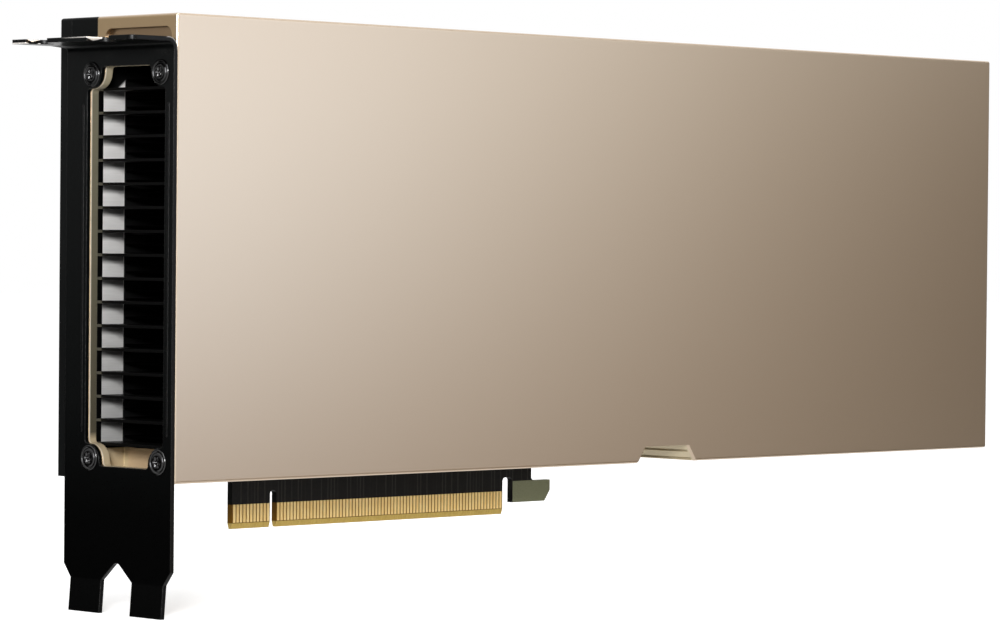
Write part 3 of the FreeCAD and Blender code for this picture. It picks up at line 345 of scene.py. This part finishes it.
# ------------------------------------------------------------------ finishes
def grained(name, dark, light, roughness, grain, depth,
            metallic=0.0, specular=0.5, stretch=(1, 1, 1), edge=0.0):
    """A fine-grained surface: two tones in slow drifts, a gloss that varies with the grain, and relief."""
    finish = Finish(name, light, roughness, metallic, specular)
    drift = finish.spread(finish.noise(0.05, 3.0))
    fine = finish.noise(grain, 3.0, stretch)
    tone = finish.mix(0.5, drift, finish.spread(fine))
    finish.set("Base Color", finish.blend(tone, dark, light))
    finish.set("Roughness", finish.level(fine, 0.25, 0.75, roughness - 0.05, roughness + 0.05))
    finish.bump(fine, depth, finish.soften(edge) if edge else None)
    return finish


def face_with_painted_sheen(finish, drift):
    """Champagne with a painted sheen: palest beside the bracket and darkest at the far end, both at mid
    height.

    The painted sheen is a * (1 - u * u) and a tenth of a slow drift, where a runs along the cover and u up
    it, each from -1 to 1.
    """
    along = finish.level(finish.x, *COVER_SPAN, -1.0, 1.0)
    up = finish.level(finish.z, *COVER_RISE, -1.0, 1.0)
    fade = finish.math("SUBTRACT", 1.0, finish.both(up, up))
    # painted sheen: paler beside the bracket, darker towards the far end
    sheen = finish.math("MULTIPLY_ADD", drift, 0.1, finish.both(along, fade))
    return finish.blend(finish.level(sheen, -0.95, 1.05), shade(213, 195, 173), shade(197, 177, 154))


def end_wall_painted_light(finish, drift):
    """The end wall's gold, warmed as a painted reflection; the shallow recess in it is duller as painted
    shade, with one bright side as a painted highlight.
    """
    # painted reflection: the end wall's gold is warmer than the face's
    gold = finish.blend(drift, shade(217, 187, 145), shade(221, 191, 149))
    # painted shade: the shallow recess behind the flange is duller
    dish_shade = finish.both(finish.level(finish.x, NEAR_END + 0.4, NEAR_END + 0.6),
                       finish.level(finish.z, 100.7, 100.9))
    # painted highlight: one side of the recess is near white
    dish_side_glint = finish.both(finish.between(finish.x, NEAR_END + 0.1, NEAR_END + 1.0),
                            finish.between(finish.y, -13.0, -11.8),
                            finish.between(finish.z, 104.0, 107.2, 0.2))
    return finish.blend(dish_side_glint, finish.blend(dish_shade, gold, shade(178, 150, 118)), shade(255, 250, 240))


def window_painted_light(finish, fine):
    """Painted light and shade in the window: a dull, shaded copy of the gold that darkens downwards and is
    lighter high on the ears; painted light, paler low down and on the plenum's step, which darkens towards
    the face; painted highlights at the step's corner and along the window's outer edge.
    """
    # painted shade: darker down the window, lighter at the top of the ears
    shaded_olive = finish.blend(finish.level(finish.z, 25.0, 92.0), shade(60, 57, 47), shade(112, 109, 93))
    shaded_olive = finish.blend(finish.level(finish.z, 94.5, 97.0), shaded_olive, shade(160, 150, 126))
    shaded_olive = finish.blend(finish.spread(fine, 0.0, 0.2), shaded_olive, shade(150, 138, 108))
    # painted light: pale low down, paler still on the notch's roof
    foot = finish.blend(finish.level(finish.x, 0.0, 1.0), shade(176, 160, 131), shade(188, 175, 147))
    tone = finish.blend(finish.level(finish.z, 21.5, 23.0), foot, shaded_olive)
    low_down = finish.level(finish.z, 21.0, 20.5)
    step = finish.both(finish.between(finish.x, PLENUM_STEP - 0.15, -44.0), low_down)
    # painted shade: the step darkens towards the face
    outwards = finish.level(finish.y, -9.0, -31.0)
    tone = finish.blend(step, tone, finish.blend(outwards, shade(200, 176, 142), shade(168, 138, 105)))
    # painted highlight at the step's corner
    corner = finish.both(finish.between(finish.x, PLENUM_STEP - 0.2, PLENUM_STEP + 0.15, 0.1), low_down,
                         finish.level(finish.y, -9.0, -8.0))
    tone = finish.blend(corner, tone, shade(200, 182, 146))
    # painted highlight along the window's outer edge
    rim_highlight = finish.level(finish.x, NEAR_END + 0.55, NEAR_END + 0.3)
    return finish.blend(rim_highlight, tone, shade(222, 212, 193))


def champagne_anodising():
    """Bead-blasted champagne outside with a painted sheen and a painted reflection on the end, duller and
    rougher on the walls of the window and the notch, where light and shade are painted.
    """
    finish = Finish("champagne_anodising", shade(205, 186, 163), 0.33, metallic=1.0)
    drift = finish.spread(finish.noise(0.015, 2.0))
    fine = finish.noise(7.0, 2.0)
    on_end = finish.both(finish.level(finish.x, NEAR_END + 1.4, NEAR_END + 1.2),
                         finish.level(finish.y, FACE + 0.4, FACE + 0.8),
                         finish.level(finish.z, TOP - 0.2, TOP - 0.5))
    outside = finish.blend(on_end, face_with_painted_sheen(finish, drift), end_wall_painted_light(finish, drift))
    inside = finish.both(finish.level(finish.x, NEAR_END + 0.1, NEAR_END + 0.2),
                         finish.level(finish.y, FACE + 0.8, FACE + 1.2),
                         finish.between(finish.z, *WINDOW_RISE))
    # the walls inside the window take painted light and shade
    finish.set("Base Color", finish.blend(inside, outside, window_painted_light(finish, fine)))
    finish.set("Metallic", finish.mix(inside, 1.0, 0.25))
    finish.set("Roughness", finish.mix(inside, finish.spread(fine, 0.32, 0.35), 0.42))
    finish.bump(fine, 0.0008, finish.soften(0.18))
    return finish


def satin_coat(name, dark, light, roughness, specular):
    """Black powder coat: fine orange peel, softened edges and a trace of wear along them."""
    finish = Finish(name, dark, roughness, specular=specular)
    edge = finish.soften(0.15)
    peel = finish.noise(2.2, 3.0)
    drift = finish.level(finish.noise(0.04, 2.0), 0.35, 0.65)
    coat = finish.blend(drift, dark, light)
    finish.set("Base Color", finish.blend(finish.worn(), coat, shade(58, 57, 55)))
    finish.set("Roughness", finish.spread(peel, roughness - 0.04, roughness + 0.06))
    finish.bump(peel, 0.003, edge)
    return finish


def notch_band_highlight(finish):
    """One where a highlight is painted above and below a zigzag band of coat, on the wall of the notch by
    the board.
    """
    fall = finish.level(finish.x, -70.4, -69.05, 105.62, 105.1)
    rise = finish.level(finish.x, -69.05, -66.65, 0.0, 0.56)
    drop = finish.level(finish.x, -66.65, -65.99, 0.0, -0.36)
    middle = finish.math("ADD", fall, finish.math("ADD", rise, drop))
    away = finish.math("ABSOLUTE", finish.math("SUBTRACT", finish.z, middle))
    return finish.both(finish.level(finish.y, -0.95, -0.9), finish.level(away, 0.3, 0.36))


def notch_wedge_highlight(finish):
    """One where a highlight is painted over two slopes that meet at a point, on the wall of the other
    notch.
    """
    point_place, point_height = -69.0, 105.05
    slopes = [finish.math("MULTIPLY_ADD", finish.x, slope, point_height - point_place * slope)
              for slope in (-0.387, 0.258)]
    over = finish.math("SUBTRACT", finish.z, finish.either(*slopes))
    return finish.both(finish.between(finish.y, -21.3, -20.95), finish.level(over, -0.04, 0.04),
                       finish.level(finish.z, 105.2, 105.8, 0.25, 1.0))


def flange_edge_highlight(finish):
    """One where a highlight is painted along the top of the flange's front edge, fading away from the
    notch.
    """
    return finish.both(finish.level(finish.x, FLANGE_EDGE, FLANGE_EDGE - 0.06),
                       finish.between(finish.y, -21.1, -12.0), finish.level(finish.z, 105.7, 105.8),
                       finish.level(finish.y, -12.5, -21.0, 0.0, 0.7))


def bend_highlight(finish):
    """Nearly a half round the outside of the bend, by distance from the bend's centre line: a painted
    highlight.
    """
    out = finish.vector("SUBTRACT", finish.place, BEND_CENTRE)["Vector"]
    across = finish.vector("MULTIPLY", out, (1, 0, 1))["Vector"]
    reach = finish.vector("LENGTH", across)["Value"]
    return finish.both(finish.level(reach, 2.2, 2.4, 0.0, 0.4), finish.level(finish.z, 103.0, 103.6),
                       finish.level(finish.x, -61.4, -60.8))


def bracket_coat():
    """Satin black on bent steel, with pale highlights painted at the flange's notches, its edge and its
    bend, painted shade darkening it towards the tongues, and a painted warm reflection on its side.
    """
    finish = Finish("bracket_satin", shade(5, 6, 6), 0.3, specular=0.14)
    edge = finish.soften(0.3)
    peel = finish.noise(2.6, 3.0)
    # painted shade: the coat darkens towards the tongues
    coat = finish.blend(finish.level(finish.z, 6.0, 30.0), shade(1, 1, 1), shade(5, 6, 6))
    coat = finish.blend(finish.worn(), coat, shade(52, 51, 50))
    # painted reflection: the sheet's side face is a warm near-black
    side = finish.level(finish.y, SHEET_SIDE, SHEET_SIDE - 0.06)
    coat = finish.blend(side, coat, shade(7, 5, 3))
    upright = finish.between(finish.z, *FLANGE_RISE, 0.01)
    notched = finish.both(upright, finish.level(finish.x, NOTCH_FLOOR, NOTCH_FLOOR - 0.1))
    notch_highlights = finish.both(notched, finish.either(notch_band_highlight(finish), notch_wedge_highlight(finish)))
    edge_highlight_mask = finish.both(upright, flange_edge_highlight(finish))
    bend_highlight_mask = finish.both(side, bend_highlight(finish))
    # bare: the painted highlights, pale and partly metallic, at the notches, the flange's edge and the bend
    bare = finish.either(notch_highlights, edge_highlight_mask, bend_highlight_mask)
    finish.set("Base Color", finish.blend(bare, coat, shade(230, 224, 218)))
    finish.set("Metallic", finish.mix(bare, 0.0, 0.4))
    finish.set("Roughness", finish.spread(peel, 0.27, 0.34))
    finish.bump(peel, 0.002, edge)
    return finish


def grille_coat():
    """Black coat on thin blades, with a pale painted highlight where each blade's tip meets the frame."""
    finish = Finish("grille_black", shade(4, 4, 4), 0.42, specular=0.07)
    edge = finish.soften(0.08)
    fine = finish.noise(3.5, 2.0)
    coat = finish.blend(finish.spread(fine), shade(2, 2, 2), shade(6, 6, 6))
    # painted highlight on each blade's tip by the frame
    tips = finish.both(finish.level(finish.x, BLADE_FRONT + 0.1, BLADE_FRONT + 0.05),
                       finish.between(finish.y, -8.9, -7.2))
    finish.set("Base Color", finish.blend(tips, coat, shade(66, 64, 56)))
    finish.bump(fine, 0.002, edge)
    return finish


def fin_stock():
    """Blackened thin sheet drawn along the air's way, greyer at the inlet, with painted shade making it
    black by the plenum.
    """
    finish = Finish("fin_stock", shade(30, 30, 31), 0.6, specular=0.0)
    drawn = finish.noise(1.5, 3.0, (0.1, 1, 1))
    inlet = finish.blend(finish.spread(drawn), shade(46, 46, 48), shade(58, 58, 60))
    # painted shade: the fins are black by the plenum and grey towards the inlet
    finish.set("Base Color", finish.blend(finish.level(finish.x, -20.0, 120.0), shade(1, 1, 1), inlet))
    finish.bump(drawn, 0.002)
    return finish


def nickel_plate():
    """Matt nickel with milling lines, painted lighter higher up, with painted shade past the plenum and
    painted shadows by the upper ear and under each blade.
    """
    finish = Finish("nickel_plate", shade(196, 195, 192), 0.42, metallic=0.35)
    lines = finish.noise(2.0, 3.0, (0.15, 1, 3.0))
    low = finish.blend(finish.spread(lines), shade(182, 181, 179), shade(194, 193, 191))
    high = finish.blend(finish.spread(lines), shade(247, 245, 242), shade(253, 251, 249))
    # painted light: the plate is lighter higher up
    plate = finish.blend(finish.level(finish.z, 25.0, 80.0), low, high)
    rung = finish.math("DIVIDE", finish.math("SUBTRACT", finish.z, BLADE_LOW), BLADE_PITCH)
    # painted shadow under each blade
    blade_shadow = finish.both(finish.level(finish.math("FRACT", rung), 0.64, 0.84),
                              finish.level(finish.x, BLADE_FRONT, -54.5, 0.45, 0.9),
                              finish.level(finish.x, BLADE_BACK, BLADE_BACK - 0.1))
    plate = finish.blend(blade_shadow, plate, shade(70, 69, 67))
    slope = finish.math("SUBTRACT", finish.z, finish.math("MULTIPLY", finish.x, 0.86))
    # painted shadow by the upper ear
    ear_shadow = finish.both(finish.level(finish.z, 95.6, 95.8), finish.level(slope, 139.5, 140.1))
    # painted shade past the plenum, between the fins
    past_plenum_shade = finish.level(finish.x, BLADE_BACK, BLADE_BACK + 0.15)
    finish.set("Base Color", finish.blend(finish.either(past_plenum_shade, ear_shadow), plate, shade(14, 14, 14)))
    finish.set("Roughness", finish.spread(lines, 0.38, 0.46))
    finish.bump(lines, 0.001)
    return finish


def board_mask():
    """Black solder mask over faint traces, gold round the contacts and bare laminate on the hook."""
    finish = Finish("solder_mask", shade(24, 24, 23), 0.36, specular=0.16)
    weave = finish.noise(1.6, 2.0)
    mask = finish.blend(finish.spread(weave), shade(14, 14, 13), shade(20, 20, 18))
    traces = finish.both(finish.lines(finish.x, 1.0, 0.34), finish.between(finish.z, 5.5, 12.2, 0.3),
                         finish.level(finish.noise(0.5, 1.0, (1, 0.01, 0.01)), 0.45, 0.55))
    tone = finish.blend(traces, mask, shade(40, 39, 35))
    on_tabs = finish.level(finish.x, CONTACTS_END + 0.2, CONTACTS_END)
    apart = finish.both(finish.between(finish.z, 1.3, 5.4), on_tabs)
    tone = finish.blend(apart, tone, shade(112, 76, 2))
    hook = finish.both(finish.level(finish.x, 75.5, 75.6), finish.level(finish.x, 96.0, 95.0),
                       finish.level(finish.z, 7.7, 7.6))
    cut = finish.spread(finish.noise(4.0, 3.0))
    tone = finish.blend(hook, tone, finish.blend(cut, shade(116, 120, 94), shade(132, 135, 108)))
    bevel = finish.both(finish.level(finish.z, 1.32, 1.22), on_tabs)
    brushed = finish.spread(finish.noise(2.0, 2.0, (3, 1, 0.3)))
    gilt = finish.blend(brushed, shade(182, 154, 80), shade(206, 180, 104))
    finish.set("Base Color", finish.blend(bevel, tone, gilt))
    finish.bump(finish.math("ADD", traces, finish.math("MULTIPLY", weave, 0.2)), 0.02)
    return finish


def contact_plating():
    """Hard gold over nickel, with faint wiping marks along each contact."""
    finish = Finish("contact_plating", shade(255, 226, 150), 0.28)
    wipe = finish.noise(5.0, 2.0, (2.5, 1, 0.12))
    tone = finish.blend(finish.spread(wipe), shade(255, 216, 136), shade(255, 234, 168))
    tails = finish.level(finish.noise(1.1, 1.0, (1, 0.1, 0.1)), 0.4, 0.6, 0.0, 0.4)
    finish.set("Base Color", finish.blend(tails, tone, shade(240, 200, 118)))
    finish.set("Roughness", finish.spread(wipe, 0.22, 0.34))
    finish.bump(wipe, 0.001)
    return finish


def pressed_powder():
    """Pressed iron powder of a moulded choke: a speckle of dark grains."""
    finish = Finish("pressed_powder", shade(92, 92, 94), 0.6, specular=0.3)
    speckle = finish.cells(4.0)
    finish.set("Base Color", finish.blend(speckle, shade(74, 74, 76), shade(104, 104, 106)))
    finish.bump(speckle, 0.01)
    return finish


def laminate():
    """Green package laminate with its woven glass showing through."""
    finish = Finish("package_laminate", shade(38, 84, 62), 0.4)
    weave = finish.both(finish.lines(finish.x, 0.5, 0.8), finish.lines(finish.z, 0.5, 0.8))
    finish.set("Base Color", finish.blend(weave, shade(32, 74, 54), shade(42, 92, 68)))
    finish.bump(weave, 0.004)
    return finish


def dress(finish, *names):
    """Give every face of some CAD nodes one finish."""
    for name in names:
        slots = nodes[name].data.materials
        if not slots:
            slots.append(finish.material)
        for number in range(len(slots)):
            slots[number] = finish.material


screw_finish = grained("black_oxide", shade(3, 3, 3), shade(7, 7, 7), 0.16, 6.0, 0.0006, specular=0.6)
dress(champagne_anodising(), "front_cover")
bracket_finish = bracket_coat()
dress(bracket_finish, "mounting_bracket")
dress(grille_coat(), "exhaust_grille")
dress(nickel_plate(), "heatsink_base")
dress(fin_stock(), "heatsink_fins")
dress(satin_coat("frame_coat", shade(5, 6, 6), shade(8, 9, 9), 0.42, 0.12), "support_frame")
dress(satin_coat("backplate_coat", shade(6, 7, 7), shade(10, 11, 11), 0.4, 0.14), "backplate")
dress(board_mask(), "circuit_board")
dress(contact_plating(), "edge_contacts")
dress(laminate(), "processor_package")
dress(grained("polished_silicon", shade(44, 46, 54), shade(56, 58, 68), 0.12, 0.4, 0.0005, metallic=0.4),
      "processor_die")
dress(grained("stack_mould", shade(30, 31, 34), shade(38, 39, 43), 0.28, 1.2, 0.001), "memory_stacks")
dress(grained("stamped_steel", shade(168, 168, 166), shade(188, 188, 186), 0.32, 2.0, 0.001, metallic=1.0,
              stretch=(0.2, 1, 2)), "package_stiffener")
dress(grained("spring_steel", shade(150, 149, 146), shade(172, 171, 168), 0.3, 2.0, 0.001, metallic=1.0,
              stretch=(2, 1, 0.2)), "clamp_spring")
dress(grained("gap_pad", shade(120, 124, 130), shade(136, 140, 146), 0.8, 1.0, 0.02, specular=0.2),
      "thermal_interface", "choke_pads")
dress(pressed_powder(), "power_chokes")
dress(grained("chip_mould", shade(20, 20, 21), shade(29, 29, 30), 0.55, 3.0, 0.003, specular=0.3),
      "power_drivers", "control_chips")
dress(grained("drawn_can", shade(182, 183, 185), shade(202, 203, 205), 0.25, 1.0, 0.001, metallic=1.0,
              stretch=(1, 0.1, 1)), "capacitor_cans")
dress(grained("socket_nylon", shade(17, 17, 18), shade(24, 24, 25), 0.5, 2.4, 0.006, specular=0.35,
              edge=0.12), "power_socket")
dress(grained("bright_tin", shade(186, 186, 182), shade(208, 208, 204), 0.24, 1.5, 0.002, metallic=1.0),
      "socket_terminals")
dress(grained("black_film", shade(15, 15, 16), shade(22, 22, 23), 0.45, 1.8, 0.003, specular=0.4),
      "insulating_film")


# ------------------------------------------------------------------ detailed pieces
RECESS_LOBES = 6
BEAD_WIDTH, BEAD_HEIGHT, BEAD_AROUND = 0.34, 0.16, 20


def add_piece(name, points, faces, finish):
    """A piece of the card from points in millimetres and faces, smooth shaded, that rides with the card."""
    mesh = bpy.data.meshes.new(name)
    mesh.from_pydata((points * MM).tolist(), [], faces)
    mesh.polygons.foreach_set("use_smooth", np.ones(len(mesh.polygons), bool))
    mesh.materials.append(finish.material)
    piece = bpy.data.objects.new(name, mesh)
    bpy.context.scene.collection.objects.link(piece)
    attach(piece, "root")
    return piece


def ring_faces(rings, around):
    """Faces of a tube of rings closed by a point at each end: triangles, quads, then triangles."""
    step = np.arange(around)
    follow = (step + 1) % around
    first = 1 + np.arange(rings - 1)[:, None] * around
    quads = np.stack([first + step, first + follow, first + around + follow, first + around + step], -1)
    start = np.stack([np.zeros(around, int), 1 + follow, 1 + step], -1)
    last = 1 + (rings - 1) * around
    end = np.stack([np.full(around, last + around), last + step, last + follow], -1)
    return start.tolist() + quads.reshape(-1, 4).tolist() + end.tolist()


def repeated(faces, count, copies):
    """The faces of so many copies of a shape that has count points."""
    return [[corner + count * number for corner in face] for number in range(copies) for face in faces]


def screw_points(profile, axis, around):
    """Points of a screw turned about an axis.

    A place on it is a(s) along the axis and r(s) * (1 + k(s) * cos(lobes * t)) out from it, where s runs
    down the profile from the floor of the recess to the tip and t runs round; k is zero outside the recess.
    """
    axis = np.array(axis, float)
    side = np.roll(axis, 1)
    across = np.cross(axis, side)
    along, radius, lobed = np.array(profile).T[:, :, None]
    turn = np.linspace(0, 2 * np.pi, around, endpoint=False)
    out = radius * (1 + lobed * np.cos(RECESS_LOBES * turn))
    rings = (along[..., None] * axis + (out * np.cos(turn))[..., None] * side
             + (out * np.sin(turn))[..., None] * across)
    floor, tip = along[0, 0] * axis, along[-1, 0] * axis
    return np.concatenate([floor[None], rings.reshape(-1, 3), tip[None]])


def add_screws(node, profile, axis, seats, around):
    """All the screws of one node, each the same turned shape moved to its seat."""
    screw = screw_points(profile, axis, around)
    points = (np.array(seats, float)[:, None, :] + screw[None]).reshape(-1, 3)
    faces = repeated(ring_faces(len(profile), around), len(screw), len(seats))
    piece = add_piece(node + "_turned", points, faces, screw_finish)
    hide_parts(node)


# along the axis, radius, share of the lobes
ROUND_HEAD = [
    (-0.42, 0.25, 0.0), (-0.38, 0.52, 0.12), (-0.30, 0.66, 0.18), (0.02, 0.72, 0.20), (0.10, 0.78, 0.20),
    (0.22, 0.90, 0.19), (0.34, 1.04, 0.16), (0.41, 1.16, 0.10), (0.44, 1.30, 0.03), (0.43, 1.46, 0.0),
    (0.39, 1.64, 0.0), (0.31, 1.79, 0.0), (0.20, 1.91, 0.0), (0.12, 2.00, 0.0), (0.11, 2.06, 0.0),
    (0.16, 2.14, 0.0), (0.24, 2.23, 0.0), (0.31, 2.32, 0.0), (0.345, 2.40, 0.0), (0.345, 2.47, 0.0),
    (0.31, 2.55, 0.0), (0.24, 2.63, 0.0), (0.15, 2.69, 0.0), (0.0, 2.71, 0.0), (0.0, 2.3, 0.0),
    (0.0, 1.30, 0.0), (-0.04, 1.25, 0.0), (-3.7, 1.25, 0.0), (-4.05, 0.95, 0.0),
]
SUNK_HEAD = [
    (-0.80, 0.40, 0.10), (-0.78, 0.60, 0.16), (-0.70, 0.72, 0.18), (-0.14, 0.76, 0.18), (-0.04, 0.82, 0.15),
    (-0.01, 0.92, 0.06), (0.0, 1.10, 0.0), (0.0, 1.50, 0.0), (-0.01, 1.74, 0.0), (-0.05, 1.84, 0.0),
    (-0.12, 1.88, 0.0),
]


def sunk_profile(wall, length):
    """A sunk head, its cone through the wall, and the shank to its tip."""
    shank = 0.8
    return SUNK_HEAD + [(-wall, shank, 0.0), (0.3 - length, shank, 0.0), (-length, 0.55, 0.0)]


ear_seats = [(SHEET_FACE, out, up) for out in (-8.8, -31.35) for up in (17.65, 98.75)]
plate_seats = [(along, BACK, up) for along in (-50.1, 201.9) for up in (18.5, 106.9)]
clamp_seats = np.add(PROCESSOR, [(along, 0.0, up) for along in (-31.5, 31.5) for up in (-31.5, 31.5)])
top_seats = [(along, -12.0, TOP) for along in (-5.3, 157.1)]
add_screws("bracket_screws", ROUND_HEAD, (-1, 0, 0), ear_seats, around=60)
add_screws("backplate_screws", sunk_profile(wall=1.6, length=5.88), (0, 1, 0), plate_seats, around=36)
add_screws("clamp_screws", sunk_profile(wall=1.6, length=7.5), (0, 1, 0), clamp_seats, around=36)
add_screws("cover_screws", sunk_profile(wall=1.5, length=3.4), (0, 0, 1), top_seats, around=36)


def bead_points(out, low, high):
    """Points of a bead pressed out of the bracket's face, upright beside the window.

    At a height s and a turn t its place is out + width * run(s) * cos(t) across the face and
    height * run(s) * sin(t) off it, with the half behind the face pressed flat; run(s) is one along the
    bead and falls to zero round each end as a quarter circle does.
    """
    turn = np.linspace(0, np.pi / 2, 8)[1:]
    ends = BEAD_WIDTH * (1 - np.cos(turn))
    straight = np.linspace(low + BEAD_WIDTH, high - BEAD_WIDTH, 24)[1:-1]
    up = np.concatenate([low + ends, straight, (high - ends)[::-1]])[:, None]
    run = np.concatenate([np.sin(turn), np.ones(len(straight)), np.sin(turn)[::-1]])[:, None]
    angle = np.linspace(0, 2 * np.pi, BEAD_AROUND, endpoint=False)
    off = np.sin(angle)
    stand = np.where(off > 0, off * BEAD_HEIGHT, off * 0.04) * run
    across = out + BEAD_WIDTH * run * np.cos(angle)
    rings = np.stack([SHEET_FACE - stand, across, np.repeat(up, BEAD_AROUND, 1)], -1)
    tips = np.array([(SHEET_FACE, out, low), (SHEET_FACE, out, high)])
    return np.concatenate([tips[:1], rings.reshape(-1, 3), tips[1:]])


def add_beads(sides, low, high):
    """The beads either side of the window, as one piece."""
    beads = [bead_points(out, low, high) for out in sides]
    count = len(beads[0])
    faces = repeated(ring_faces((count - 2) // BEAD_AROUND, BEAD_AROUND), count, len(beads))
    add_piece("window_beads", np.concatenate(beads), faces, bracket_finish)


add_beads((-6.1, -34.05), 23.0, 92.5)
